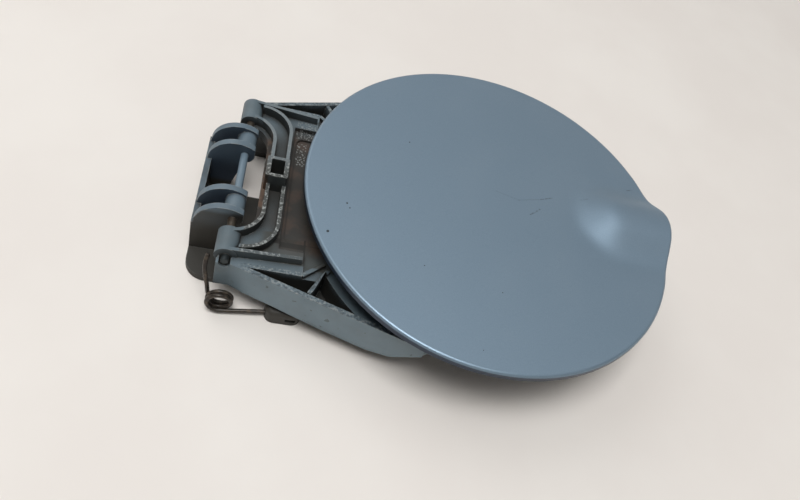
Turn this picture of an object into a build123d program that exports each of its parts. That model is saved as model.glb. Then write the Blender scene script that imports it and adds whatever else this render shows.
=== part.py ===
from build123d import *
import math
import os

os.makedirs("parts", exist_ok=True)

# Frame: millimetres, +Z up. Z = 0 is the bracket's mounting face, the pin runs along Y at X = 0,
# and the door panel lies towards +X. The plane Y = 0 halves the hinge.

# Pin and its fits
pin_height = 26.0
pin_radius = 1.7
press_clearance = 0.01
running_clearance = 0.05
hinge_half_width = 46.8
pin_end_inset = 0.8

# Door panel
panel_radius = 85.0
panel_edge = 25.65
rim_above_pin = 13.0
rim_depth = 3.2
rim_band = 2.6
panel_crown = 3.0
panel_skin = 2.4
rim_round = 1.3

# Finger pull, raised out of the panel at the rim
pull_rise = 8.0
pull_nose = 60.0
pull_center = 2.0
pull_top_half = 2.0
pull_foot_half = 23.0
surface_step = 5.0
surface_tolerance = 0.05

# Stakes that hold the panel on the arm: distance from the pin, distance from the middle plane
stake_spots = [(62.0, 40.0), (62.0, -40.0), (100.0, 36.0), (100.0, -36.0), (130.0, 0.0)]
stake_shoulder_radius = 4.0
stake_radius = 2.2
stake_hole_clearance = 0.15
stake_head_radius = 3.8
stake_head_height = 1.6
stake_head_bevel = 0.8

# Arm: barrels round the pin and end plates outside them
barrel_radius = 4.6
barrel_length = 11.8
barrel_inset = 3.6
notch_clearance = 0.6
plate_left = -3.3
plate_thickness = 2.4
plate_bottom = 11.4
corner_x = 2.7

# Arm: side bars that spread from the hinge towards the panel
bar_slope = 0.317
bar_thickness = 2.0
bar_end = 82.0
bar_bottom = [(12.8, 10.2), (21.0, 10.0), (41.0, 8.4), (61.0, 8.2), (71.0, 10.5)]
bar_toe = 20.0

# Arm: web, raised deck and the tongue under the panel
web_thickness = 2.5
deck_step = 2.0
deck_side_width = 11.8
deck_side_end = 30.8
deck_front = 20.2
notch_x = 9.2
tongue_outline = [(92.0, 66.0), (137.0, 25.0)]
tongue_tip = 146.0

# Arm: ribs of the curved channel
rib_thickness = 1.5
rib_rise = 4.5
inner_rib_x = 11.75
inner_rib_bend = 13.0
inner_rib_straight = 20.0
outer_rib_x = 18.4
outer_rib_bend = 14.0
outer_rib_straight = 26.2
straight_rib_insets = [(0.0, 4.4), (29.8, 6.1)]
straight_rib_end_rise = 3.4

# Arm: square socket in the channel
socket_x = 14.55
socket_size = (9.3, 11.1)
socket_hole = (5.7, 8.2)
socket_rise = 9.6
socket_round = 0.8

# Arm: side pockets and the diagonal ribs by them
pocket_floor = 12.0
pocket_wall = 1.8
pocket_base = 2.0
ledge_inset = 2.5
ledge_start = 40.0
diagonal_rib_insets = [(34.0, -7.4), (41.2, 5.2)]
short_rib_insets = [(30.8, 0.6), (39.5, 8.1)]
diagonal_thickness = 1.6
recess_left = 21.7
recess_half = 30.0
recess_right = 52.0
recess_depth = 0.8
recess_round = 3.0
stiffener_y = [-24.0, -8.0, 8.0, 24.0]
stiffener_depth = 8.0
stiffener_run = (21.0, 112.0)

# Bracket: base, wall and knuckles
base_thickness = 3.0
base_left = -16.3
base_right = 36.0
base_half = 39.2
base_round = 9.0
ear_left = -2.0
ear_reach = 6.2
ear_round = 4.0
window_box = (-4.5, 17.0, 8.2, 37.0)
window_round = 2.0
wall_thickness = 2.5
wall_top = 20.0
wall_half = 24.7
knuckle_inner = 11.6
knuckle_outer = 24.7
knuckle_plate = 2.8
knuckle_radius = 4.3
knuckle_corner = 1.2
arch_radius = 12.6
arch_center = (-3.1, -6.5)
gusset_foot = -5.0

# Bracket: spring seat, a lug beside the arm
seat_left = 19.2
seat_right = 34.6
seat_reach = 7.7
seat_lap = 1.8
seat_height = 7.4
seat_round = 2.0
seat_corner = 4.0
seat_slot = (28.0, 32.5, 2.2)

# Bracket: screw holes
screw_x = 26.0
screw_half_pitch = 26.0
screw_hole_radius = 2.7

# Spring: wire, coil and the two legs; the middle number of a point counts from the end of the hinge
wire_radius = 0.9
coil_radius = 4.85
coil_center = (0.45, 6.5)
coil_gap = 6.6
coil_pitch = 1.95
coil_turns = 2.25
coil_spans = 8
leg_spot = (25.0, 3.8, 2.9)
leg_seat_clearance = 0.3
hook_spans = 6
hook_points = [(-5.3, 1.7, 12.0), (-6.8, -0.2, 18.5), (-7.1, -1.6, 23.0), (-6.5, -3.4, 25.9)]

# Values that follow from those above
deck_top = pin_height
web_top = deck_top - deck_step
web_bottom = web_top - web_thickness
rib_top = pin_height + rib_rise
rim_top = pin_height + rim_above_pin
rim_bottom = rim_top - rim_depth
crown_radius = (panel_radius ** 2 + panel_crown ** 2) / (2 * panel_crown)
crown_center = rim_top + panel_crown - crown_radius
bar_line = hinge_half_width - bar_slope * corner_x
panel_offset = panel_edge + panel_radius
ledge_radius = panel_radius - ledge_inset
pin_half_length = hinge_half_width - pin_end_inset
barrel_outer = hinge_half_width - barrel_inset
barrel_inner = barrel_outer - barrel_length
deck_side_inner = hinge_half_width - deck_side_width
straight_rib = [(x, hinge_half_width - inset) for x, inset in straight_rib_insets]
diagonal_rib = [(x, hinge_half_width - inset) for x, inset in diagonal_rib_insets]
short_rib = [(x, hinge_half_width - inset) for x, inset in short_rib_insets]
ear_outer = hinge_half_width + ear_reach
seat_outer = hinge_half_width + seat_reach
seat_inner = hinge_half_width - seat_lap
coil_front = -hinge_half_width - coil_gap


def bar_y(x):
    """Outer face of the side bar at a distance from the pin."""
    return bar_line + bar_slope * x


def bar_inner_y(x):
    """Inner face of the side bar."""
    return bar_y(x) - bar_thickness * math.hypot(1.0, bar_slope)


def slab(x0, x1, y0, y1, z0, z1):
    """Flat block between two corners."""
    block = Box(x1 - x0, y1 - y0, z1 - z0, align=(Align.MIN, Align.MIN, Align.MIN))
    return Pos(x0, y0, z0) * block


def rod(radius, x, z, y0, y1):
    """Cylinder along Y."""
    rotated = Rot(-90, 0, 0) * Cylinder(radius, y1 - y0, align=(Align.CENTER, Align.CENTER, Align.MIN))
    return Pos(x, y0, z) * rotated


def both_sides(shape):
    """A shape and its mirror image across the middle plane."""
    return [shape, mirror(shape, about=Plane.XZ)]


def upright_stroke(path, width, low, high):
    """Rib that follows a line drawn from above."""
    return Pos(0, 0, low) * extrude(trace(path, width), high - low, dir=(0, 0, 1))


def crown_height(radius):
    """Height of the domed top surface at a distance from the panel's centre."""
    return crown_center + math.sqrt(crown_radius ** 2 - radius ** 2)


def ease(t):
    """Smooth step from 0 to 1."""
    t = min(max(t, 0.0), 1.0)
    return t * t * (3.0 - 2.0 * t)


def skin_height(x, y):
    """Height of the panel's outer surface over a point given from the panel's centre."""
    reach = math.hypot(min(x - pull_nose, 0.0), y - pull_center)
    swell = 1.0 - ease((reach - pull_top_half) / (pull_foot_half - pull_top_half))
    return crown_height(math.hypot(x, y)) + pull_rise * swell


def round_plate(radius, low, high):
    """Cylinder standing on the panel's centre line."""
    body = Cylinder(radius, high - low, align=(Align.CENTER, Align.CENTER, Align.MIN))
    return Pos(panel_offset, 0, low) * body


def outer_surface():
    """One smooth surface for the dome and the pull, a little larger than the panel."""
    count = 2 * round((panel_radius + surface_step) / surface_step)
    span = [surface_step * (i - count / 2) for i in range(count + 1)]
    grid = [[Vector(panel_offset + x, y, skin_height(x, y)) for y in span] for x in span]
    return Face.make_surface_from_array_of_points(grid, tol=surface_tolerance, min_deg=3, max_deg=3)


def build_panel():
    """Domed round panel with a raised finger pull and the stakes that hold it on the arm."""
    sky = rim_top + pull_rise + panel_crown
    ground = rim_bottom - rim_depth
    surface = outer_surface()
    limit = round_plate(panel_radius, ground, sky)
    ring = limit - round_plate(panel_radius - rim_band, ground, sky)
    skin = Solid.extrude(surface, Vector(0, 0, -panel_skin)) & limit
    rim = [edge for edge in skin.edges() if on_rim(edge)]
    skin = fillet(rim, rim_round)
    band_start = (rim_round + panel_skin) / 2
    lowered = Pos(0, 0, -band_start) * surface
    band = Solid.extrude(lowered, Vector(0, 0, band_start - rim_depth)) & ring
    skin = skin + band
    for x, y in stake_spots:
        skin = skin + stake(x, y)
    return skin


def on_rim(edge):
    """True for an edge where the outer surface meets the panel's outer cylinder."""
    for share in (0.0, 0.25, 0.5, 0.75, 1.0):
        spot = edge.position_at(share)
        x = spot.X - panel_offset
        if abs(spot.Z - skin_height(x, spot.Y)) > panel_skin / 4:
            return False
        if abs(math.hypot(x, spot.Y) - panel_radius) > panel_skin / 4:
            return False
    return True


def stake(x, y):
    """Post under the panel: a shoulder on the arm's web, a stem through it and a closed head below."""
    reach = crown_height(math.hypot(x - panel_offset, y)) - panel_skin / 2
    upward = (Align.CENTER, Align.CENTER, Align.MIN)
    downward = (Align.CENTER, Align.CENTER, Align.MAX)
    shoulder = Cylinder(stake_shoulder_radius, reach - web_top, align=upward)
    stem_low = web_bottom - stake_head_height / 2
    stem = Cylinder(stake_radius, reach - stem_low, align=upward)
    head = Cylinder(stake_head_radius, stake_head_height, align=downward)
    head = chamfer(head.edges().sort_by(Axis.Z)[0], stake_head_bevel)
    return Pos(x, y, web_top) * shoulder + Pos(x, y, stem_low) * stem + Pos(x, y, web_bottom) * head


def arm_outline():
    """Outline of the arm from above: notch at the hinge, spreading sides, tongue under the panel."""
    bend = inner_rib_bend - (inner_rib_x - notch_x)
    bend_center = inner_rib_x - inner_rib_bend
    bend_mid = bend * math.sqrt(0.5)
    half = [
        Line((notch_x, 0), (notch_x, inner_rib_straight)),
        ThreePointArc(
            (notch_x, inner_rib_straight),
            (bend_center + bend_mid, inner_rib_straight + bend_mid),
            (bend_center, inner_rib_straight + bend),
        ),
        Polyline(
            [
                (bend_center, inner_rib_straight + bend),
                (plate_left, hinge_half_width),
                (corner_x, hinge_half_width),
                (bar_end, bar_y(bar_end)),
                *tongue_outline,
                (tongue_tip, 0),
            ]
        ),
    ]
    return half


def closed_face(lines):
    """Face inside a closed run of lines and arcs."""
    return make_face(Wire([edge for line in lines for edge in line.edges()]))


def mirrored_face(half):
    """Face bounded by half an outline and its mirror image."""
    face = closed_face(half + [Line(half[-1] @ 1, half[0] @ 0)])
    return face + mirror(face, about=Plane.XZ)


def deck_outline():
    """Raised deck: the channel's floor and a strip along each side."""
    half = arm_outline()[:2]
    last = half[-1] @ 1
    half.append(
        Polyline(
            [
                last,
                (plate_left, hinge_half_width),
                (deck_side_end, hinge_half_width),
                (deck_side_end, deck_side_inner),
                (deck_front, deck_side_inner),
                (deck_front, 0),
            ]
        )
    )
    return half


def side_bar():
    """Upright bar on the +Y side; its foot follows a bent line and lifts under the panel."""
    slant = math.hypot(1.0, bar_slope)
    along = Plane(
        origin=(corner_x, bar_y(corner_x), 0),
        x_dir=(1 / slant, bar_slope / slant, 0),
        z_dir=(bar_slope / slant, -1 / slant, 0),
    )
    points = [(corner_x, deck_top), (corner_x, plate_bottom)]
    points += bar_bottom
    points += [(bar_end, bar_toe), (bar_end, deck_top)]
    face = make_face(Polyline([((x - corner_x) * slant, z) for x, z in points], close=True))
    return extrude(along * face, bar_thickness)


def pocket_outlines():
    """The two open pockets beside the deck, seen from above on the +Y side."""
    (foot_x, foot_y), (head_x, head_y) = diagonal_rib
    lean = (head_x - foot_x) / (head_y - foot_y)
    half_rib = diagonal_thickness / 2 * math.hypot(1.0, lean)
    left_x = (hinge_half_width - bar_inner_y(0)) / bar_slope
    first_right = foot_x + lean * (hinge_half_width - foot_y) - half_rib
    first_low = foot_x - half_rib
    first = make_face(
        Polyline(
            [
                (left_x, hinge_half_width),
                (first_right, hinge_half_width),
                (first_low, bar_inner_y(first_low)),
            ],
            close=True,
        )
    )
    second_low = foot_x + half_rib
    tip_x = ledge_tip()
    middle_x = (ledge_start + tip_x) / 2
    ledge_y = math.sqrt(ledge_radius ** 2 - (ledge_start - panel_offset) ** 2)
    middle_y = math.sqrt(ledge_radius ** 2 - (middle_x - panel_offset) ** 2)
    second = closed_face(
        [
            Line((second_low, bar_inner_y(second_low)), (ledge_start, ledge_y)),
            ThreePointArc((ledge_start, ledge_y), (middle_x, middle_y), (tip_x, bar_inner_y(tip_x))),
            Line((tip_x, bar_inner_y(tip_x)), (second_low, bar_inner_y(second_low))),
        ]
    )
    return [first, second]


def ledge_tip():
    """Where the round ledge under the panel meets the inner face of the side bar."""
    base = bar_inner_y(0)
    a = 1 + bar_slope ** 2
    b = 2 * (bar_slope * base - panel_offset)
    c = panel_offset ** 2 + base ** 2 - ledge_radius ** 2
    return (-b - math.sqrt(b * b - 4 * a * c)) / (2 * a)


def channel_ribs():
    """The two curved ribs of the channel and the straight rib on each side."""
    inner_center = inner_rib_x - inner_rib_bend
    outer_center = outer_rib_x - outer_rib_bend
    ribs = []
    paths = [
        (inner_rib_x, inner_rib_straight, inner_rib_bend, inner_center),
        (outer_rib_x, outer_rib_straight, outer_rib_bend, outer_center),
    ]
    for rib_x, straight, bend, center in paths:
        mid = bend * math.sqrt(0.5)
        path = [
            Line((rib_x, -straight), (rib_x, straight)),
            ThreePointArc((rib_x, straight), (center + mid, straight + mid), (center, straight + bend)),
            ThreePointArc((rib_x, -straight), (center + mid, -straight - mid), (center, -straight - bend)),
        ]
        ribs.append(upright_stroke(path, rib_thickness, web_top, rib_top))
    straight = upright_stroke(Line(*straight_rib), rib_thickness, web_top, rib_top)
    run = straight_rib[1][0] + rib_thickness
    slope_cut = make_face(
        Polyline([(0, rib_top), (run, deck_top + straight_rib_end_rise), (run, rib_top)], close=True)
    )
    straight -= extrude(Plane.XZ * slope_cut, hinge_half_width, both=True)
    return ribs + both_sides(straight)


def build_arm():
    """Moulded hinge arm: barrels, end plates, spreading bars, channel, socket, pockets and tongue."""
    body = Pos(0, 0, web_bottom) * extrude(mirrored_face(arm_outline()), web_thickness, dir=(0, 0, 1))
    body += Pos(0, 0, web_top) * extrude(mirrored_face(deck_outline()), deck_step, dir=(0, 0, 1))
    edge_wall = slab(
        plate_left,
        diagonal_rib[1][0],
        hinge_half_width - plate_thickness,
        hinge_half_width,
        plate_bottom,
        web_top,
    )
    plate_inner = hinge_half_width - plate_thickness
    plate = slab(plate_left, corner_x, plate_inner, hinge_half_width, plate_bottom, deck_top)
    barrel = rod(barrel_radius, 0, pin_height, barrel_inner, barrel_outer)
    for piece in (edge_wall, plate, barrel, side_bar()):
        body += both_sides(piece)
    pockets = pocket_outlines()
    tub_low = pocket_floor - pocket_base
    for face in pockets:
        tub = Pos(0, 0, tub_low) * extrude(offset(face, pocket_wall), web_top - tub_low, dir=(0, 0, 1))
        body += both_sides(tub)
    for ends in (diagonal_rib, short_rib):
        rib = upright_stroke(Line(*ends), diagonal_thickness, web_bottom, deck_top)
        body += both_sides(rib)
    body += channel_ribs()
    socket = slab(
        socket_x - socket_size[0] / 2,
        socket_x + socket_size[0] / 2,
        -socket_size[1] / 2,
        socket_size[1] / 2,
        web_bottom,
        pin_height + socket_rise,
    )
    body += fillet(socket.edges().filter_by(Axis.Z), socket_round)
    for y in stiffener_y:
        body += slab(
            stiffener_run[0],
            stiffener_run[1],
            y - rib_thickness / 2,
            y + rib_thickness / 2,
            web_bottom - stiffener_depth,
            web_bottom,
        )
    for face in pockets:
        hole = Pos(0, 0, pocket_floor) * extrude(face, rib_top, dir=(0, 0, 1))
        body -= both_sides(hole)
    body -= slab(
        socket_x - socket_hole[0] / 2,
        socket_x + socket_hole[0] / 2,
        -socket_hole[1] / 2,
        socket_hole[1] / 2,
        0,
        rim_top,
    )
    recess = slab(recess_left, recess_right, -recess_half, recess_half, web_top - recess_depth, deck_top)
    body -= fillet(recess.edges().filter_by(Axis.Z), recess_round)
    body -= rod(pin_radius + press_clearance, 0, pin_height, -barrel_outer, barrel_outer)
    body -= both_sides(rod(pin_radius + notch_clearance, 0, pin_height, barrel_outer, hinge_half_width))
    for x, y in stake_spots:
        body -= Pos(x, y, web_bottom) * Cylinder(stake_radius + stake_hole_clearance, 3 * web_thickness)
    return body


def build_pin():
    """Plain steel pin."""
    pin = rod(pin_radius, 0, pin_height, -pin_half_length, pin_half_length)
    return chamfer(pin.edges(), pin_radius / 8)


def beyond_end(spot):
    """Point given by its distance from the pin, beyond the end of the hinge, and its height."""
    return Vector(spot[0], -hinge_half_width - spot[1], spot[2])


def coil_point(share):
    """Point on the spring's coil, from its front turn at the bottom to its back turn on the left."""
    angle = -math.pi / 2 - 2 * math.pi * coil_turns * share
    return Vector(
        coil_center[0] + coil_radius * math.cos(angle),
        coil_front + coil_pitch * coil_turns * share,
        coil_center[1] + coil_radius * math.sin(angle),
    )


def knuckle_profile():
    """Side view of a knuckle plate: arched back, round eye at the pin, gusset down to the base."""
    center_x = arch_center[0]
    center_z = pin_height + arch_center[1]
    left = center_x - arch_radius
    arch_end = center_z + math.sqrt(arch_radius ** 2 - (knuckle_radius - center_x) ** 2)
    eye_mid = knuckle_radius * math.sqrt(0.5)
    face = closed_face(
        [
            Polyline([(base_left, base_thickness), (base_left, center_z), (left, center_z)]),
            ThreePointArc((left, center_z), (center_x, center_z + arch_radius), (knuckle_radius, arch_end)),
            Line((knuckle_radius, arch_end), (knuckle_radius, pin_height)),
            ThreePointArc(
                (knuckle_radius, pin_height),
                (eye_mid, pin_height - eye_mid),
                (0, pin_height - knuckle_radius),
            ),
            Polyline(
                [
                    (0, pin_height - knuckle_radius),
                    (gusset_foot, base_thickness),
                    (base_left, base_thickness),
                ]
            ),
        ]
    )
    corner = [v for v in face.vertices() if abs(v.X - knuckle_radius) < 0.01 and v.Y > pin_height + 0.01]
    return fillet(corner, knuckle_corner)


def build_bracket():
    """Body-side bracket: base with a window, back wall, two pairs of arched knuckles, spring seat."""
    base = slab(base_left, base_right, -base_half, base_half, 0, base_thickness)
    left_corners = base.edges().filter_by(Axis.Z).sort_by(Axis.X)[:2]
    body = fillet(left_corners, base_round)
    body += slab(base_left, base_left + wall_thickness, -wall_half, wall_half, base_thickness, wall_top)
    ear = slab(ear_left, base_right, base_half, ear_outer, 0, base_thickness)
    body += fillet(ear.edges().filter_by(Axis.Z).sort_by(Axis.Y)[2:], ear_round)
    profile = knuckle_profile()
    for side in (-1, 1):
        low = knuckle_inner if side > 0 else -knuckle_outer
        width = knuckle_outer - knuckle_inner
        plate = extrude(Plane.XZ * profile, -knuckle_plate)
        body += Pos(0, low, 0) * plate
        body += Pos(0, low + width - knuckle_plate, 0) * plate
        body += rod(knuckle_radius, 0, pin_height, low, low + width)
    seat = slab(seat_left, seat_right, -seat_outer, -seat_inner, 0, seat_height)
    outer_corners = seat.edges().filter_by(Axis.Z).sort_by(Axis.Y)[:2]
    seat = fillet(outer_corners, seat_corner)
    seat = fillet(seat.faces().sort_by(Axis.Z)[-1].edges(), seat_round)
    body += seat
    body += slab(seat_left, seat_right, -seat_outer + seat_corner, -base_half, 0, base_thickness)
    body -= rod(pin_radius + running_clearance, 0, pin_height, -knuckle_outer, knuckle_outer)
    x0, x1, y0, y1 = window_box
    window = slab(x0, x1, y0, y1, -base_thickness, 2 * base_thickness)
    body -= fillet(window.edges().filter_by(Axis.Z), window_round)
    for y in (-screw_half_pitch, screw_half_pitch):
        body -= Pos(screw_x, y, base_thickness / 2) * Cylinder(screw_hole_radius, 2 * base_thickness)
    leg_seat = beyond_end(leg_spot)
    leg_run = Plane(origin=leg_seat, z_dir=coil_point(0) - leg_seat)
    body -= leg_run * Cylinder(wire_radius + leg_seat_clearance, 2 * (seat_right - seat_left))
    slot = slab(seat_slot[0], seat_slot[1], -seat_outer - seat_round, leg_seat.Y, 0, seat_slot[2])
    body -= Pos(0, 0, leg_seat.Z - seat_slot[2] / 2) * slot
    return body


def build_spring():
    """Bent steel wire: a coil with a leg into the bracket's seat and a hooked leg up to the arm."""
    steps = round(coil_turns * coil_spans)
    coil = [coil_point(i / steps) for i in range(steps + 1)]
    hook = Spline([coil[-1], *[beyond_end(spot) for spot in hook_points]])
    bends = [hook @ (i / hook_spans) for i in range(1, hook_spans + 1)]
    leg_seat = beyond_end(leg_spot)
    path = Polyline([leg_seat, *coil, *bends])
    section = Plane(origin=leg_seat, z_dir=path % 0) * Circle(wire_radius)
    return sweep(section, path=path, transition=Transition.RIGHT)


for name, maker in (
    ("door_panel", build_panel),
    ("hinge_arm", build_arm),
    ("hinge_pin", build_pin),
    ("hinge_bracket", build_bracket),
    ("closing_spring", build_spring),
):
    shape = maker()
    print(name, shape.is_valid, len(shape.solids()), round(shape.volume), shape.bounding_box())
    export_step(shape, "parts/" + name + ".step")
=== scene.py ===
# %% [markdown]
# # A car fuel door
# The object is a round painted door with a finger pull, on a moulded hinge arm. The arm turns on a
# steel pin in a bracket that is screwed to the car, and a wire spring pulls the door shut.
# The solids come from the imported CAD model, which is the fixed frame of this scene, in metres.
# The lesson adds what CAD leaves plain: paint, worn edges, dirt, and a smooth wire spring.

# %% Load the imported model
import math

import bpy
from mathutils import Matrix, Vector


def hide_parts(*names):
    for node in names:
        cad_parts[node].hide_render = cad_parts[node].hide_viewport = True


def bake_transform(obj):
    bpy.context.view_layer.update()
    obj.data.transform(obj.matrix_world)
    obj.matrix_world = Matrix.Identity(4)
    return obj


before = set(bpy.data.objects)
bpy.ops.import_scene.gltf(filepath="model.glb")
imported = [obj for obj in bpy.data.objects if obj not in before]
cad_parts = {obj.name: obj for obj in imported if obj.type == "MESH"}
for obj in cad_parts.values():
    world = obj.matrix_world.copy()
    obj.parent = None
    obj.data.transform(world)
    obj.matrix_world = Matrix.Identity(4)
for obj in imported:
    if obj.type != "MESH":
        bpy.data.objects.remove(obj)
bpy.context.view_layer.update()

mm = 0.001
print("nodes:", sorted(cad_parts))

# %% [markdown]
# ## Small helpers for shader nodes
# Materials in Blender are graphs. Three short helpers keep the cells below readable: one adds a
# node and sets its values, one joins two sockets, and one starts an empty material.

# %% Node helpers


def add(tree, kind, inputs=None, **settings):
    """Add a shader node, set its properties and the values of its unlinked sockets."""
    node = tree.nodes.new(kind)
    for name, value in settings.items():
        setattr(node, name, value)
    for name, value in (inputs or {}).items():
        node.inputs[name].default_value = value
    return node


def join(tree, source, target):
    """Join an output socket to an input socket."""
    tree.links.new(source, target)


def blank_material(name):
    """A material with an output, a Principled shader and the part's own coordinates."""
    material = bpy.data.materials.new(name)
    material.use_nodes = True
    tree = material.node_tree
    tree.nodes.clear()
    out = add(tree, "ShaderNodeOutputMaterial")
    shader = add(tree, "ShaderNodeBsdfPrincipled")
    join(tree, shader.outputs["BSDF"], out.inputs["Surface"])
    place = add(tree, "ShaderNodeTexCoord").outputs["Object"]
    return material, tree, shader, place


print("helpers ready")

# %% [markdown]
# ## Colours
# Paint shops mix colour in light that adds up, so Blender wants linear values. The helper turns
# the familiar 0 to 255 numbers of a colour picker into linear ones.

# %% Colour helper


def srgb(red, green, blue):
    """Linear RGBA from 0 to 255 display values."""
    def lift(v):
        v /= 255
        return v / 12.92 if v <= 0.04045 else ((v + 0.055) / 1.055) ** 2.4
    return (lift(red), lift(green), lift(blue), 1.0)


bare_plastic = srgb(36, 36, 33)
rubbed = srgb(146, 150, 148)
road_dirt = srgb(84, 72, 60)
print("bare plastic", [round(c, 3) for c in bare_plastic[:3]])

# %% [markdown]
# ## Shared effect: worn edges
# Handling rubs the paint off ribs and corners first. A Bevel node gives the normal of a rounded
# copy of the mesh, and where it differs from the true normal there is an edge. Noise breaks the
# line up, so that the wear comes and goes. One group serves the arm and the bracket.

# %% Edge wear group


def socket_in(group, name, value):
    """Named number input of a node group."""
    made = group.interface.new_socket(name=name, in_out="INPUT", socket_type="NodeSocketFloat")
    made.default_value = value


def socket_out(group, name, kind="NodeSocketFloat"):
    """Named output of a node group."""
    group.interface.new_socket(name=name, in_out="OUTPUT", socket_type=kind)


def math_node(tree, operation, first, second=None, clamp=False):
    """A Math node; each side is a socket or a number."""
    node = add(tree, "ShaderNodeMath", operation=operation, use_clamp=clamp)
    for index, side in enumerate((first, second)):
        if side is None:
            continue
        if hasattr(side, "links"):
            join(tree, side, node.inputs[index])
        else:
            node.inputs[index].default_value = side
    return node.outputs[0]


def ramp(tree, value, low, high, out_low=0.0, out_high=1.0):
    """A clamped Map Range from a value's span to another span."""
    node = add(tree, "ShaderNodeMapRange", interpolation_type="SMOOTHSTEP")
    join(tree, value, node.inputs["Value"])
    spans = (("From Min", low), ("From Max", high), ("To Min", out_low), ("To Max", out_high))
    for name, side in spans:
        if hasattr(side, "links"):
            join(tree, side, node.inputs[name])
        else:
            node.inputs[name].default_value = side
    return node.outputs["Result"]


def noise(tree, place, scale, detail=3.0, rough=0.55):
    """Fractal noise over the part's own coordinates."""
    node = add(tree, "ShaderNodeTexNoise", {"Scale": scale, "Detail": detail, "Roughness": rough})
    join(tree, place, node.inputs["Vector"])
    return node.outputs["Fac"]


edge_wear = bpy.data.node_groups.new("edge wear", "ShaderNodeTree")
socket_in(edge_wear, "Width", 0.0006)
socket_in(edge_wear, "Amount", 0.5)
socket_out(edge_wear, "Mask")
wear_in = add(edge_wear, "NodeGroupInput")
wear_out = add(edge_wear, "NodeGroupOutput")
rounded = add(edge_wear, "ShaderNodeBevel", samples=6)
join(edge_wear, wear_in.outputs["Width"], rounded.inputs["Radius"])
true_normal = add(edge_wear, "ShaderNodeNewGeometry").outputs["Normal"]
compare = add(edge_wear, "ShaderNodeVectorMath", operation="DOT_PRODUCT")
join(edge_wear, rounded.outputs["Normal"], compare.inputs[0])
join(edge_wear, true_normal, compare.inputs[1])
edge = ramp(edge_wear, compare.outputs["Value"], 0.985, 0.87)
wear_place = add(edge_wear, "ShaderNodeTexCoord").outputs["Object"]
patches = noise(edge_wear, wear_place, 420.0, 4.0)
threshold = math_node(edge_wear, "SUBTRACT", 1.0, wear_in.outputs["Amount"])
patch_high = math_node(edge_wear, "ADD", threshold, 0.12)
patchy = ramp(edge_wear, patches, threshold, patch_high)
join(edge_wear, math_node(edge_wear, "MULTIPLY", edge, patchy), wear_out.inputs["Mask"])
print("edge wear group:", len(edge_wear.nodes), "nodes")

# %% [markdown]
# ## Shared effect: paint that missed the corners, and painted shade in them
# The hinge was sprayed together with the body. Spray reaches the open faces and thins out low down
# near the base, where the dark moulding shows. Ambient Occlusion measures how open a spot is and darkens
# deep pockets and recesses to the bare moulding, which is painted shade. The height gives the rest, and noise
# frays the limit.

# %% Spray group
spray = bpy.data.node_groups.new("spray cover", "ShaderNodeTree")
socket_in(spray, "Reach", 0.014)
socket_in(spray, "Low", 0.004)
socket_in(spray, "High", 0.016)
socket_in(spray, "Openness", 0.45)
socket_out(spray, "Mask")
spray_in = add(spray, "NodeGroupInput")
spray_out = add(spray, "NodeGroupOutput")
spray_place = add(spray, "ShaderNodeTexCoord").outputs["Object"]
# Ambient Occlusion darkens pockets and recesses here: painted shade.
recess_shade_ao = add(spray, "ShaderNodeAmbientOcclusion", samples=8)
join(spray, spray_in.outputs["Reach"], recess_shade_ao.inputs["Distance"])
height = add(spray, "ShaderNodeSeparateXYZ")
join(spray, spray_place, height.inputs["Vector"])
fray = noise(spray, spray_place, 130.0, 4.0)
fray_shift = math_node(spray, "MULTIPLY", math_node(spray, "SUBTRACT", fray, 0.5), 0.008)
shifted = math_node(spray, "ADD", height.outputs["Z"], fray_shift)
by_height = ramp(spray, shifted, spray_in.outputs["Low"], spray_in.outputs["High"])
open_high = math_node(spray, "ADD", spray_in.outputs["Openness"], 0.4)
by_openness_shade = ramp(spray, recess_shade_ao.outputs["AO"], spray_in.outputs["Openness"], open_high)
join(spray, math_node(spray, "MULTIPLY", by_height, by_openness_shade), spray_out.inputs["Mask"])
print("spray group:", len(spray.nodes), "nodes")

# %% [markdown]
# ## Shared effect: grain and dust
# Moulded plastic has a fine skin and paint has a faint orange peel. Both are small bumps, and dust
# is a pale film that gathers in patches. One group gives a height for bumps and a mask for dust.

# %% Surface group
surface = bpy.data.node_groups.new("surface grain", "ShaderNodeTree")
socket_in(surface, "Grain Scale", 900.0)
socket_in(surface, "Dust Scale", 60.0)
socket_out(surface, "Height")
socket_out(surface, "Dust")
surface_in = add(surface, "NodeGroupInput")
surface_out = add(surface, "NodeGroupOutput")
surface_place = add(surface, "ShaderNodeTexCoord").outputs["Object"]
for wanted, target, detail in (("Grain Scale", "Height", 2.0), ("Dust Scale", "Dust", 5.0)):
    fine = add(surface, "ShaderNodeTexNoise", {"Detail": detail, "Roughness": 0.6})
    join(surface, surface_place, fine.inputs["Vector"])
    join(surface, surface_in.outputs[wanted], fine.inputs["Scale"])
    value = fine.outputs["Fac"]
    if target == "Dust":
        value = ramp(surface, value, 0.42, 0.72)
    join(surface, value, surface_out.inputs[target])
print("surface group:", len(surface.nodes), "nodes")


# %% Group placement helper
def place_group(tree, group, **values):
    """Put a node group into a material with its own values."""
    node = add(tree, "ShaderNodeGroup", node_tree=group)
    for name, value in values.items():
        node.inputs[name.replace("_", " ")].default_value = value
    return node


def mix(tree, factor, first, second):
    """Mix two colours; each is a socket or a colour, and the factor is a socket or a number."""
    node = add(tree, "ShaderNodeMix", data_type="RGBA")
    for socket, side in ((node.inputs[0], factor), (node.inputs[6], first), (node.inputs[7], second)):
        if hasattr(side, "links"):
            join(tree, side, socket)
        else:
            socket.default_value = side
    return node.outputs[2]


def bump(tree, shader, height_socket, strength, distance):
    """Feed a height into the shader's normal."""
    node = add(tree, "ShaderNodeBump", {"Strength": strength, "Distance": distance})
    join(tree, height_socket, node.inputs["Height"])
    join(tree, node.outputs["Normal"], shader.inputs["Normal"])


print("placement helpers ready")

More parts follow.
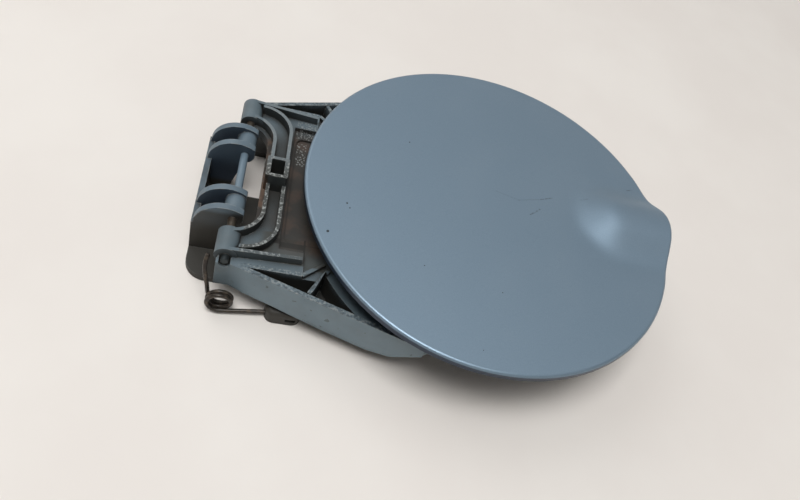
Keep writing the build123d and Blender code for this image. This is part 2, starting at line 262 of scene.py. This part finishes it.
# %% [markdown]
# ## Where on the part
# Dirt and wear depend on the place: water dries on the web, hands and the latch rub the rib tops.
# A short helper turns a stretch of one axis into a soft mask, and masks multiply into zones.

# %% Zone helper


def axes(tree, place):
    """The three coordinates of a spot on the part."""
    split = add(tree, "ShaderNodeSeparateXYZ")
    join(tree, place, split.inputs["Vector"])
    return split.outputs["X"], split.outputs["Y"], split.outputs["Z"]


def between(tree, value, low, high, soft):
    """One between two limits in millimetres, zero outside, with soft ends."""
    rise = ramp(tree, value, (low - soft) * mm, low * mm)
    fall = ramp(tree, value, (high + soft) * mm, high * mm)
    return math_node(tree, "MULTIPLY", rise, fall)


def times(tree, *factors):
    """The product of several masks."""
    total = factors[0]
    for factor in factors[1:]:
        total = math_node(tree, "MULTIPLY", total, factor)
    return total


def part_normal(tree):
    """The way a spot on the part faces, along the part's three axes."""
    return axes(tree, add(tree, "ShaderNodeTexCoord").outputs["Normal"])


print("zone helpers ready")

# %% [markdown]
# ## The door's paint
# The outside is car paint with fine metal flakes, so it is lighter where the lamp glances off it and
# deeper where it doesn't. Metallic and a medium roughness give that slow change without any drawing.
# A clear coat lies on top.

# %% Door paint
door_paint, tree, shader, place = blank_material("door_paint")
grain = place_group(tree, surface, Grain_Scale=700.0, Dust_Scale=34.0)
flakes = ramp(tree, noise(tree, place, 2600.0, 2.0), 0.35, 0.65)
colour = mix(tree, flakes, srgb(117, 137, 153), srgb(122, 142, 158))
colour = mix(tree, times(tree, grain.outputs["Dust"], 0.025), colour, srgb(176, 178, 176))
print("paint colour ready")

# %% [markdown]
# Stones leave small dark chips in the paint. They could be cut into the mesh, but at this size a
# spot of colour is enough: the distance from a point, frayed by noise. Each row is a place and a radius.

# %% Door chips
chips = [
    (37.5, -32.4, 39.35, 0.75), (44.3, -16.6, 40.06, 0.5), (45.6, -19.0, 40.1, 0.4),
    (70.8, 25.4, 41.1, 0.4), (77.2, -42.1, 40.8, 0.35), (110.1, -49.0, 41.0, 0.3), (100.7, -76.1, 39.6, 0.3),
]
fray = noise(tree, place, 900.0, 3.0)
chip_mask = None
for x, y, z, radius in chips:
    apart = add(tree, "ShaderNodeVectorMath", operation="DISTANCE")
    join(tree, place, apart.inputs[0])
    apart.inputs[1].default_value = (x * mm, y * mm, z * mm)
    frayed = times(tree, apart.outputs["Value"], math_node(tree, "ADD", fray, 0.5))
    spot = ramp(tree, frayed, radius * mm, radius * 0.6 * mm)
    chip_mask = spot if chip_mask is None else math_node(tree, "MAXIMUM", chip_mask, spot)
colour = mix(tree, chip_mask, colour, srgb(52, 58, 64))
print("chips:", len(chips))

# %% [markdown]
# Fine scratches run in front of the pull, where keys and fingernails slip. Each is a short line
# between two points. The nearest point of the line is found with a clamped dot product, and the
# distance to it gives a thin mask, so that no texture has to be painted.

# %% Door scratches


def near_line(tree, place, first, last):
    """Distance from a spot on the part to a short line between two points."""
    reach = last - first
    start = add(tree, "ShaderNodeVectorMath", operation="SUBTRACT")
    join(tree, place, start.inputs[0])
    start.inputs[1].default_value = first
    along = add(tree, "ShaderNodeVectorMath", operation="DOT_PRODUCT")
    join(tree, start.outputs["Vector"], along.inputs[0])
    along.inputs[1].default_value = reach / reach.length_squared
    share = math_node(tree, "ADD", along.outputs["Value"], 0.0, clamp=True)
    step = add(tree, "ShaderNodeVectorMath", operation="SCALE")
    step.inputs[0].default_value = reach
    join(tree, share, step.inputs["Scale"])
    apart = add(tree, "ShaderNodeVectorMath", operation="DISTANCE")
    join(tree, start.outputs["Vector"], apart.inputs[0])
    join(tree, step.outputs["Vector"], apart.inputs[1])
    return apart.outputs["Value"]


scratches = [
    ((126.6, -4.7, 41.9), (131.6, -0.5, 41.8), 0.5),
    ((132.9, 5.7, 41.8), (138.7, 8.2, 41.6), 0.4),
    ((153.5, 10.4, 41.9), (156.8, 11.1, 42.8), 0.22),
    ((110.8, 5.2, 42.0), (121.7, 2.5, 41.9), 0.14),
    ((121.7, 2.5, 41.9), (132.9, 5.7, 41.8), 0.18),
    ((181.6, 25.2, 39.7), (184.5, 26.4, 39.4), 0.45),
]
skips = ramp(tree, noise(tree, place, 620.0, 2.0), 0.36, 0.54, 0.15, 1.0)
for first, last, depth in scratches:
    apart = near_line(tree, place, Vector(first) * mm, Vector(last) * mm)
    frayed = times(tree, apart, math_node(tree, "ADD", fray, 0.4))
    trace = times(tree, ramp(tree, frayed, 0.5 * mm, 0.12 * mm, 0.0, depth), skips)
    colour = mix(tree, trace, colour, srgb(58, 66, 76))
print("scratches:", len(scratches))

# %% [markdown]
# The rim's side and the underside face away from the lamp, and a dark blue is painted on them as
# painted shade. The rolled rim is rubbed smoother than the face by sleeves and wash cloths, so its
# roughness is lower and it catches a line of light.

# %% Door underside and gloss
door_axis = 110.65
face_z = part_normal(tree)[2]
# Faces turned down get a darker blue: painted shade.
underside_shade = ramp(tree, face_z, 0.5, 0.1)
colour = mix(tree, underside_shade, colour, srgb(32, 46, 64))
join(tree, colour, shader.inputs["Base Color"])
gloss = math_node(tree, "ADD", times(tree, grain.outputs["Dust"], 0.03), 0.6)
from_axis = add(tree, "ShaderNodeVectorMath", operation="MULTIPLY_ADD")
join(tree, place, from_axis.inputs[0])
from_axis.inputs[1].default_value = (1, 1, 0)
from_axis.inputs[2].default_value = (-door_axis * mm, 0, 0)
out_from_axis = add(tree, "ShaderNodeVectorMath", operation="LENGTH")
join(tree, from_axis.outputs["Vector"], out_from_axis.inputs[0])
burnish = ramp(tree, out_from_axis.outputs["Value"], 0.0834, 0.0842, 0.0, 0.23)
join(tree, math_node(tree, "SUBTRACT", gloss, burnish), shader.inputs["Roughness"])
shader.inputs["Metallic"].default_value = 0.5
shader.inputs["Coat Weight"].default_value = 0.08
shader.inputs["Coat Roughness"].default_value = 0.4
bump(tree, shader, grain.outputs["Height"], 0.03, 0.0002)
print("door paint:", len(tree.nodes), "nodes")

# %% [markdown]
# ## The hinge arm
# One dark moulding, sprayed with the body. The spray covers the sides well and only dusts the
# middle, which the door shields. The finish is built up in the order in which it came about: paint,
# then dirt, then wear. Painted shade darkens the inner walls, the barrel ends, the deck's step and the
# low edges, and the outer bar faces get a painted lighter tone. Zones in the part's own coordinates keep each
# layer where it belongs.

# %% Arm paint
arm_finish, tree, shader, place = blank_material("arm_finish")
x, y, z = axes(tree, place)
side = math_node(tree, "ABSOLUTE", y)
paint_cover_and_shade = place_group(tree, spray, Reach=0.012, Low=0.004, High=0.012, Openness=0.34)
grain = place_group(tree, surface, Grain_Scale=1100.0, Dust_Scale=90.0)
blotch = ramp(tree, noise(tree, place, 70.0), 0.3, 0.7)
painted = mix(tree, blotch, srgb(85, 99, 106), srgb(96, 111, 119))
outside = ramp(tree, side, 0.020, 0.036, 0.36, 1.0)
colour = mix(tree, times(tree, paint_cover_and_shade.outputs["Mask"], outside), bare_plastic, painted)
face_y, face_z = part_normal(tree)[1:]
upright = ramp(tree, math_node(tree, "ABSOLUTE", face_z), 0.7, 0.3)
inner_walls = times(tree, upright, between(tree, x, 5.5, 90.0, 0.5), ramp(tree, side, 0.0444, 0.0438))
sideways = ramp(tree, math_node(tree, "ABSOLUTE", face_y), 0.5, 0.8)
barrel_ends = times(tree, sideways, between(tree, side, 40.0, 43.5, 0.3), ramp(tree, z, 0.0255, 0.0262))
# Upright inner walls and the barrel ends are darkened towards bare plastic: painted shade.
wall_and_end_shade = math_node(tree, "MAXIMUM", inner_walls, barrel_ends)
colour = mix(tree, times(tree, wall_and_end_shade, 0.7), colour, srgb(40, 44, 44))
near_deck = times(
    tree, between(tree, y, -41.6, -28.0, 1.0), between(tree, x, 15.0, 60.0, 4.0),
    ramp(tree, z, 0.0266, 0.0262),
)
colour = mix(tree, times(tree, near_deck, 0.7), colour, srgb(58, 57, 50))
# The outer bar faces get a lighter copy of the arm paint: painted light.
bar_face = times(tree, upright, ramp(tree, side, 0.0452, 0.0466), ramp(tree, x, 0.000, 0.012))
bar_lit_paint = mix(tree, blotch, srgb(106, 124, 134), srgb(114, 132, 142))
colour = mix(tree, times(tree, bar_face, paint_cover_and_shade.outputs["Mask"]), colour, bar_lit_paint)
print("arm paint: full beyond 36 mm from the middle, thin on the inner walls")

# %% [markdown]
# Water dries on the web and leaves brown dirt there and along the inner rib. The dark band and line
# in the deck's step are a painted shadow of a step. A painted texture could do it, but zones mixed
# with noise stay sharp from near and need no picture.

# %% Arm dirt and painted step shadow
upper_side = between(tree, z, 22.6, 25.5, 1.0)
web_zone = times(tree, between(tree, x, 19.6, 90.0, 1.5), ramp(tree, side, 0.040, 0.031), upper_side)
rusty = ramp(tree, noise(tree, place, 85.0, 4.0), 0.46, 0.62)
web_dirt = mix(tree, rusty, srgb(43, 39, 34), srgb(64, 50, 41))
colour = mix(tree, times(tree, web_zone, 0.9), colour, web_dirt)
strip_zone = times(tree, between(tree, x, 8.0, 11.1, 0.5), ramp(tree, side, 0.026, 0.021))
strip_dirt = mix(tree, rusty, srgb(40, 34, 28), srgb(86, 64, 48))
colour = mix(tree, times(tree, strip_zone, 0.92), colour, strip_dirt)
film = times(tree, grain.outputs["Dust"], 0.14)
colour = mix(tree, film, colour, road_dirt)
# A dark band and line in the deck's step: painted shadow of a step.
step_band = times(tree, between(tree, y, -32.4, -30.4, 0.6), between(tree, x, 16.5, 30.4, 0.6))
step_line = times(tree, between(tree, x, 30.4, 30.9, 0.25), between(tree, y, -40.6, -27.0, 0.6))
painted_step_shadow = times(tree, math_node(tree, "MAXIMUM", step_band, step_line), between(tree, z, 22.6, 26.2, 0.3))
colour = mix(tree, times(tree, painted_step_shadow, 0.8), colour, srgb(27, 26, 23))
print("arm dirt on the web, in the deck's step and along the inner rib")

# %% [markdown]
# The deck has two small fields of moulded dots, which a cell pattern gives. Hands and the latch rub the
# tops of the ribs and the crests of the bars, so pale flecks come through there.

# %% Arm stipple
cells = add(tree, "ShaderNodeTexVoronoi", {"Scale": 940.0, "Randomness": 0.9})
join(tree, place, cells.inputs["Vector"])
dots = ramp(tree, cells.outputs["Distance"], 0.44, 0.30)
stipple_deck = times(tree, between(tree, x, 21.5, 30.0, 0.8), between(tree, y, 30.8, 39.0, 0.8))
stipple_step = times(tree, between(tree, x, 22.4, 26.2, 0.6), between(tree, y, 14.8, 27.4, 1.0))
stipple = math_node(tree, "MAXIMUM", stipple_deck, stipple_step)
low_face = between(tree, z, 22.6, 26.2, 0.6)
colour = mix(tree, times(tree, stipple, dots, low_face, 0.6), colour, rubbed)
print("arm stipple in two fields")

# %% Arm rib tops
rib_tops = times(
    tree, ramp(tree, z, 0.0302, 0.0304), ramp(tree, side, 0.0058, 0.0062),
    ramp(tree, x, 0.0048, 0.0056),
)
socket_top = times(tree, ramp(tree, z, 0.0351, 0.0354), ramp(tree, side, 0.0062, 0.0058))
straight_tops = times(
    tree, ramp(tree, face_z, 0.7, 0.9), between(tree, side, 39.9, 43.3, 0.2),
    between(tree, x, 5.0, 31.0, 0.4), ramp(tree, z, 0.0287, 0.0291),
)
tops = math_node(tree, "MAXIMUM", rib_tops, socket_top)
tops = math_node(tree, "MAXIMUM", tops, times(tree, straight_tops, 0.7))
near_rub = ramp(tree, y, 0.012, -0.006, 0.42, 0.50)
limit = math_node(tree, "SUBTRACT", 1.0, near_rub)
limit_high = math_node(tree, "ADD", limit, 0.10)
fleck_rub = ramp(tree, noise(tree, place, 760.0, 4.0), limit, limit_high)
under_rub = mix(tree, ramp(tree, y, 0.010, -0.004), srgb(112, 121, 125), srgb(66, 68, 66))
top_tone = mix(tree, fleck_rub, under_rub, rubbed)
colour = mix(tree, times(tree, tops, 0.9), colour, top_tone)
print("rib tops, socket and straight ribs rubbed")

# %% Arm crests and edges
crest = times(
    tree, ramp(tree, z, 0.0252, 0.0258), ramp(tree, side, 0.0446, 0.0454),
    ramp(tree, x, 0.004, 0.010),
)
fine_rub = noise(tree, place, 800.0, 3.0)
pale_flecks = times(tree, crest, ramp(tree, fine_rub, 0.52, 0.60, 0.0, 0.55))
dark_flecks = times(tree, crest, ramp(tree, fine_rub, 0.46, 0.40, 0.0, 0.5))
colour = mix(tree, pale_flecks, colour, rubbed)
colour = mix(tree, dark_flecks, colour, bare_plastic)
nicks = times(tree, bar_face, ramp(tree, noise(tree, place, 240.0, 2.0), 0.69, 0.72))
colour = mix(tree, times(tree, nicks, 0.6), colour, srgb(58, 66, 64))
wear = place_group(tree, edge_wear, Width=0.0006, Amount=0.50)
low_step = times(
    tree, ramp(tree, z, 0.0266, 0.0262), ramp(tree, side, 0.0422, 0.0414),
    ramp(tree, x, 0.012, 0.014),
)
raised = math_node(tree, "SUBTRACT", 1.0, low_step)
colour = mix(tree, times(tree, wear.outputs["Mask"], raised, 0.55), colour, rubbed)
# Edges and creases of the low deck are darkened: painted shade.
low_edge_shade = place_group(tree, edge_wear, Width=0.0012, Amount=0.72)
colour = mix(tree, times(tree, low_edge_shade.outputs["Mask"], low_step, 0.75), colour, srgb(29, 28, 25))
join(tree, colour, shader.inputs["Base Color"])
rough = math_node(tree, "SUBTRACT", 0.64, times(tree, paint_cover_and_shade.outputs["Mask"], 0.14))
join(tree, rough, shader.inputs["Roughness"])
bump(tree, shader, grain.outputs["Height"], 0.12, 0.0002)
print("arm finish:", len(tree.nodes), "nodes")

# %% [markdown]
# ## The bracket
# The same dark moulding, with paint only on the raised knuckles and the upper wall. The base lies
# low under the arm and stayed bare, with a film of dirt. The shared spray group does both at once,
# because its height limits sit between the base and the knuckles.

# %% Bracket paint and dirt
bracket_finish, tree, shader, place = blank_material("bracket_finish")
y, z = axes(tree, place)[1:]
paint_cover_and_shade = place_group(tree, spray, Reach=0.012, Low=0.014, High=0.025, Openness=0.34)
wear = place_group(tree, edge_wear, Width=0.0007, Amount=0.56)
grain = place_group(tree, surface, Grain_Scale=1000.0, Dust_Scale=110.0)
blotch = ramp(tree, noise(tree, place, 70.0), 0.3, 0.7)
painted = mix(tree, blotch, srgb(88, 104, 115), srgb(99, 116, 127))
base_tone = mix(tree, ramp(tree, noise(tree, place, 45.0, 4.0), 0.3, 0.7), srgb(35, 35, 31), srgb(45, 43, 38))
colour = mix(tree, paint_cover_and_shade.outputs["Mask"], base_tone, painted)
colour = mix(tree, times(tree, grain.outputs["Dust"], 0.10), colour, road_dirt)
shaded_end = times(tree, ramp(tree, y, -0.0240, -0.0246), ramp(tree, z, 0.0305, 0.0275))
colour = mix(tree, times(tree, shaded_end, 0.8), colour, srgb(47, 45, 40))
print("bracket painted above the base")

# %% [markdown]
# The cheeks between the knuckle plates face each other and little light gets in, so a deep blue is
# painted on them as painted shade. The rims of the plates are rubbed, most of all high up.

# %% Bracket cheeks and rims
face_y = part_normal(tree)[1]
sideways = ramp(tree, math_node(tree, "ABSOLUTE", face_y), 0.6, 0.85)
cheek_shade = times(tree, sideways, ramp(tree, z, 0.006, 0.009), ramp(tree, y, -0.0240, -0.0234))
colour = mix(tree, times(tree, cheek_shade, 0.7), colour, srgb(46, 60, 76))
high = ramp(tree, z, 0.012, 0.020, 0.15, 0.7)
colour = mix(tree, times(tree, wear.outputs["Mask"], high), colour, rubbed)
join(tree, colour, shader.inputs["Base Color"])
rough = math_node(tree, "SUBTRACT", 0.62, times(tree, paint_cover_and_shade.outputs["Mask"], 0.16))
join(tree, rough, shader.inputs["Roughness"])
bump(tree, shader, grain.outputs["Height"], 0.14, 0.0002)
print("bracket finish:", len(tree.nodes), "nodes")

# %% [markdown]
# ## The pin and the spring wire
# The pin is steel that was painted over between the knuckles and rusted a little outside them. The
# place along the pin is enough to tell one from the other, so one material does for all of it.
# The spring is dark oiled wire with paler rubbed spots, which the shared grain group gives.

# %% Pin finish
pin_finish, tree, shader, place = blank_material("pin_finish")
along_pin = math_node(tree, "ABSOLUTE", axes(tree, place)[1])
grain = place_group(tree, surface, Grain_Scale=1500.0, Dust_Scale=260.0)
sprayed = ramp(tree, along_pin, 0.0245, 0.0230)
steel = mix(tree, grain.outputs["Dust"], srgb(104, 97, 88), srgb(76, 62, 50))
ends = ramp(tree, along_pin, 0.0430, 0.0436)
colour = mix(tree, ends, steel, srgb(58, 64, 66))
colour = mix(tree, sprayed, colour, srgb(106, 124, 137))
join(tree, colour, shader.inputs["Base Color"])
bare = math_node(tree, "SUBTRACT", 1.0, sprayed)
join(tree, times(tree, bare, 0.7), shader.inputs["Metallic"])
join(tree, ramp(tree, grain.outputs["Dust"], 0.0, 1.0, 0.36, 0.6), shader.inputs["Roughness"])
bump(tree, shader, grain.outputs["Height"], 0.1, 0.0001)
print("pin finish:", len(tree.nodes), "nodes")

# %% Wire finish
wire_finish, tree, shader, place = blank_material("wire_finish")
grain = place_group(tree, surface, Grain_Scale=1800.0, Dust_Scale=420.0)
colour = mix(tree, grain.outputs["Dust"], srgb(46, 42, 38), srgb(90, 80, 70))
join(tree, colour, shader.inputs["Base Color"])
shader.inputs["Metallic"].default_value = 0.4
join(tree, ramp(tree, grain.outputs["Dust"], 0.0, 1.0, 0.34, 0.6), shader.inputs["Roughness"])
bump(tree, shader, grain.outputs["Height"], 0.15, 0.0001)
print("wire finish:", len(tree.nodes), "nodes")

# %% [markdown]
# ## Finishes onto the solids
# Panel, arm, bracket and pin have their true shape in the CAD model already. So the nodes keep their
# meshes, and only their material slots change.

# %% Assign the finishes
finishes = {
    "door_panel": door_paint,
    "hinge_arm": arm_finish,
    "hinge_bracket": bracket_finish,
    "hinge_pin": pin_finish,
}
for name, material in finishes.items():
    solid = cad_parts[name]
    solid.data.materials.clear()
    solid.data.materials.append(material)
    print(name, "->", material.name, len(solid.data.polygons), "faces")

# %% [markdown]
# ## The closing spring
# A spring is one length of wire, wound on a mandrel and bent at both ends. The solid of the packed
# model is made of short straight lengths, so the lesson draws the same wire again with round bends.
# First comes the line: a straight leg, a little over two turns, and a hook that reaches up to the arm.

# %% Line of the wire
wire_radius = 0.9
coil_radius, coil_turns, coil_pitch = 4.85, 2.25, 1.95
coil_middle = Vector((0.45, -53.4, 6.5))
leg_end = Vector((25.0, -50.6, 2.9))
hook = [
    Vector((-5.3, -48.5, 12.0)),
    Vector((-6.8, -46.6, 18.5)),
    Vector((-7.1, -45.2, 23.0)),
    Vector((-6.5, -43.4, 25.9)),
]


def coil_point(turn):
    """Point on the coil after a number of turns, starting at the bottom."""
    angle = -math.pi / 2 - 2 * math.pi * turn
    swing = Vector((math.cos(angle), 0, math.sin(angle))) * coil_radius
    return coil_middle + swing + Vector((0, coil_pitch * turn, 0))


def smooth_run(knots, per_span):
    """Points of a smooth curve through knots, starting at the second and ending at the last."""
    knots = knots + [knots[-1] * 2 - knots[-2]]
    run = []
    for a, b, c, d in zip(knots, knots[1:], knots[2:], knots[3:]):
        for i in range(per_span):
            t = i / per_span
            square = (2 * a - 5 * b + 4 * c - d) * t ** 2
            cube = (3 * b - a - 3 * c + d) * t ** 3
            run.append(0.5 * (2 * b + (c - a) * t + square + cube))
    return run + [knots[-2]]


leg_steps, coil_steps, hook_steps = 12, 72, 8
coil = [coil_point(coil_turns * i / coil_steps) for i in range(coil_steps + 1)]
leg = [leg_end.lerp(coil[0], i / leg_steps) for i in range(leg_steps)]
line = leg + coil[:-1] + smooth_run([coil[-6], coil[-1], *hook], hook_steps)
print("wire line:", len(line), "points")

# %% [markdown]
# Next a ring of points is carried along the line. Each ring is turned from the last by the smallest
# turn, so the tube doesn't twist, and two closing faces end the wire.

# %% Wire mesh
sides = 16
normal = Vector((0, 0, 1))
points = []
for i, spot in enumerate(line):
    along = (line[min(i + 1, len(line) - 1)] - line[max(i - 1, 0)]).normalized()
    normal = (normal - along * normal.dot(along)).normalized()
    across = along.cross(normal)
    for k in range(sides):
        turn = 2 * math.pi * k / sides
        points.append((spot + wire_radius * (normal * math.cos(turn) + across * math.sin(turn))) * mm)
faces = []
for i in range(len(line) - 1):
    for k in range(sides):
        a, b = i * sides + k, i * sides + (k + 1) % sides
        faces.append((a, b, b + sides, a + sides))
last = (len(line) - 1) * sides
faces.append(tuple(range(sides - 1, -1, -1)))
faces.append(tuple(range(last, last + sides)))
wire_mesh = bpy.data.meshes.new("spring_wire")
wire_mesh.from_pydata(points, [], faces)
for face in wire_mesh.polygons:
    face.use_smooth = len(face.vertices) == 4
wire_mesh.materials.append(wire_finish)
spring = bpy.data.objects.new("spring_wire", wire_mesh)
bpy.context.scene.collection.objects.link(spring)
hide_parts("closing_spring")
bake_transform(spring)
print("spring:", len(faces), "faces")

# %% [markdown]
# ## Table
# The part lies on a plain pale table. One large face is enough, a hair below the part's lowest point,
# and a faint mottle keeps it from looking like paper.

# %% Table
table_mesh = bpy.data.meshes.new("table")
table_half, table_level = 3.0, -0.0002
corners = [(-1, -1), (1, -1), (1, 1), (-1, 1)]
spread = [(x * table_half, y * table_half, table_level) for x, y in corners]
table_mesh.from_pydata(spread, [], [(0, 1, 2, 3)])
table = bpy.data.objects.new("table", table_mesh)
bpy.context.scene.collection.objects.link(table)
table_finish, tree, shader, place = blank_material("table_finish")
mottle = ramp(tree, noise(tree, place, 9.0, 4.0), 0.35, 0.7)
colour = mix(tree, mottle, srgb(228, 222, 216), srgb(232, 227, 221))
join(tree, colour, shader.inputs["Base Color"])
shader.inputs["Roughness"].default_value = 0.7
table_mesh.materials.append(table_finish)
print("table", 2 * table_half, "m wide")

# %% [markdown]
# A low round wall stands far behind the table on all sides, so that views from low down end in a pale
# backdrop. It is far from the lamps, so a little glow, seen only by the camera and in reflections,
# makes up for the light it lacks.

# %% Backdrop
wall_radius, wall_height, wall_parts = 2.9, 1.5, 96
wall_glow = 0.36
rim = [2 * math.pi * i / wall_parts for i in range(wall_parts)]
ring = [(wall_radius * math.cos(a), wall_radius * math.sin(a)) for a in rim]
wall_points = [(x, y, z) for z in (table_level, wall_height) for x, y in ring]
wall_faces = [
    (i, (i + 1) % wall_parts, (i + 1) % wall_parts + wall_parts, i + wall_parts) for i in range(wall_parts)
]
wall_mesh = bpy.data.meshes.new("backdrop")
wall_mesh.from_pydata(wall_points, [], wall_faces)
wall = bpy.data.objects.new("backdrop", wall_mesh)
bpy.context.scene.collection.objects.link(wall)
wall_finish, tree, shader, place = blank_material("backdrop_finish")
mottle = ramp(tree, noise(tree, place, 3.0, 3.0), 0.35, 0.7)
colour = mix(tree, mottle, srgb(226, 221, 215), srgb(230, 225, 219))
join(tree, colour, shader.inputs["Base Color"])
join(tree, colour, shader.inputs["Emission Color"])
shader.inputs["Roughness"].default_value = 0.8
rays = add(tree, "ShaderNodeLightPath").outputs
seen = math_node(tree, "MAXIMUM", rays["Is Camera Ray"], rays["Is Glossy Ray"])
seen = math_node(tree, "MAXIMUM", seen, rays["Is Transmission Ray"])
join(tree, times(tree, seen, wall_glow), shader.inputs["Emission Strength"])
wall_mesh.materials.append(wall_finish)
print("backdrop", wall_height, "m high")

# %% [markdown]
# ## Light
# A wide lamp hangs over the hinge side and gives the paint its slow change from light to dark. A
# weaker one stands for a window behind the part and pushes the shadow a little towards the viewer, and
# a very large one stands for the white ceiling. Powers are set so that the table comes out about as
# bright as its colour says, and a dim pale room fills the shadows.

# %% Lamps


def soft_lamp(name, spot, aim, size, watts):
    """A square area lamp at a spot, turned towards a point."""
    data = bpy.data.lights.new(name, "AREA")
    data.shape = "SQUARE"
    data.size = size
    data.energy = watts
    lamp = bpy.data.objects.new(name, data)
    turn = (Vector(spot) - Vector(aim)).to_track_quat("Z", "Y").to_matrix().to_4x4()
    lamp.matrix_world = Matrix.Translation(spot) @ turn
    bpy.context.scene.collection.objects.link(lamp)
    print(name, watts, "W")


door_middle = (0.11, 0.0, 0.04)
soft_lamp("ceiling_lamp", (-0.21, -0.44, 1.94), door_middle, 0.9, 27.0)
soft_lamp("window_light", (-0.62, 0.78, 1.08), door_middle, 1.2, 6.2)
soft_lamp("white_ceiling", (0.25, -0.15, 2.1), door_middle, 2.8, 11.0)

# %% Room
room_strength = 0.06
world = bpy.data.worlds.new("room")
bpy.context.scene.world = world
world.use_nodes = True
background = world.node_tree.nodes["Background"]
background.inputs["Color"].default_value = (0.97, 0.98, 1.0, 1.0)
background.inputs["Strength"].default_value = room_strength
print("room light", room_strength)

# %% [markdown]
# ## Camera
# The camera looks down on the door from the hinge side, turned a little to one side. Its three
# directions were fitted once so that the outlines of panel, arm and bracket fall where they should,
# and they are written here as plain vectors. A focal length in pixels turns into a lens in millimetres
# with the width of the picture.

# %% Camera
picture_width, focal_pixels = 800, 726.8
camera_data = bpy.data.cameras.new("camera")
camera_data.sensor_width = 36.0
camera_data.lens = focal_pixels / picture_width * camera_data.sensor_width
camera_data.clip_start = 0.01
camera = bpy.data.objects.new("camera", camera_data)
right = Vector((0.96192, 0.00952, 0.27316))
down = Vector((0.17204, -0.79767, -0.57804))
ahead = Vector((0.21239, 0.60302, -0.76893))
turn = Matrix((right, -down, -ahead)).transposed().to_4x4()
camera.matrix_world = Matrix.Translation((0.00498, -0.21246, 0.2651)) @ turn
bpy.context.scene.collection.objects.link(camera)
bpy.context.scene.camera = camera
bpy.context.scene.view_settings.view_transform = "Standard"
print("camera lens", round(camera_data.lens, 2), "mm")
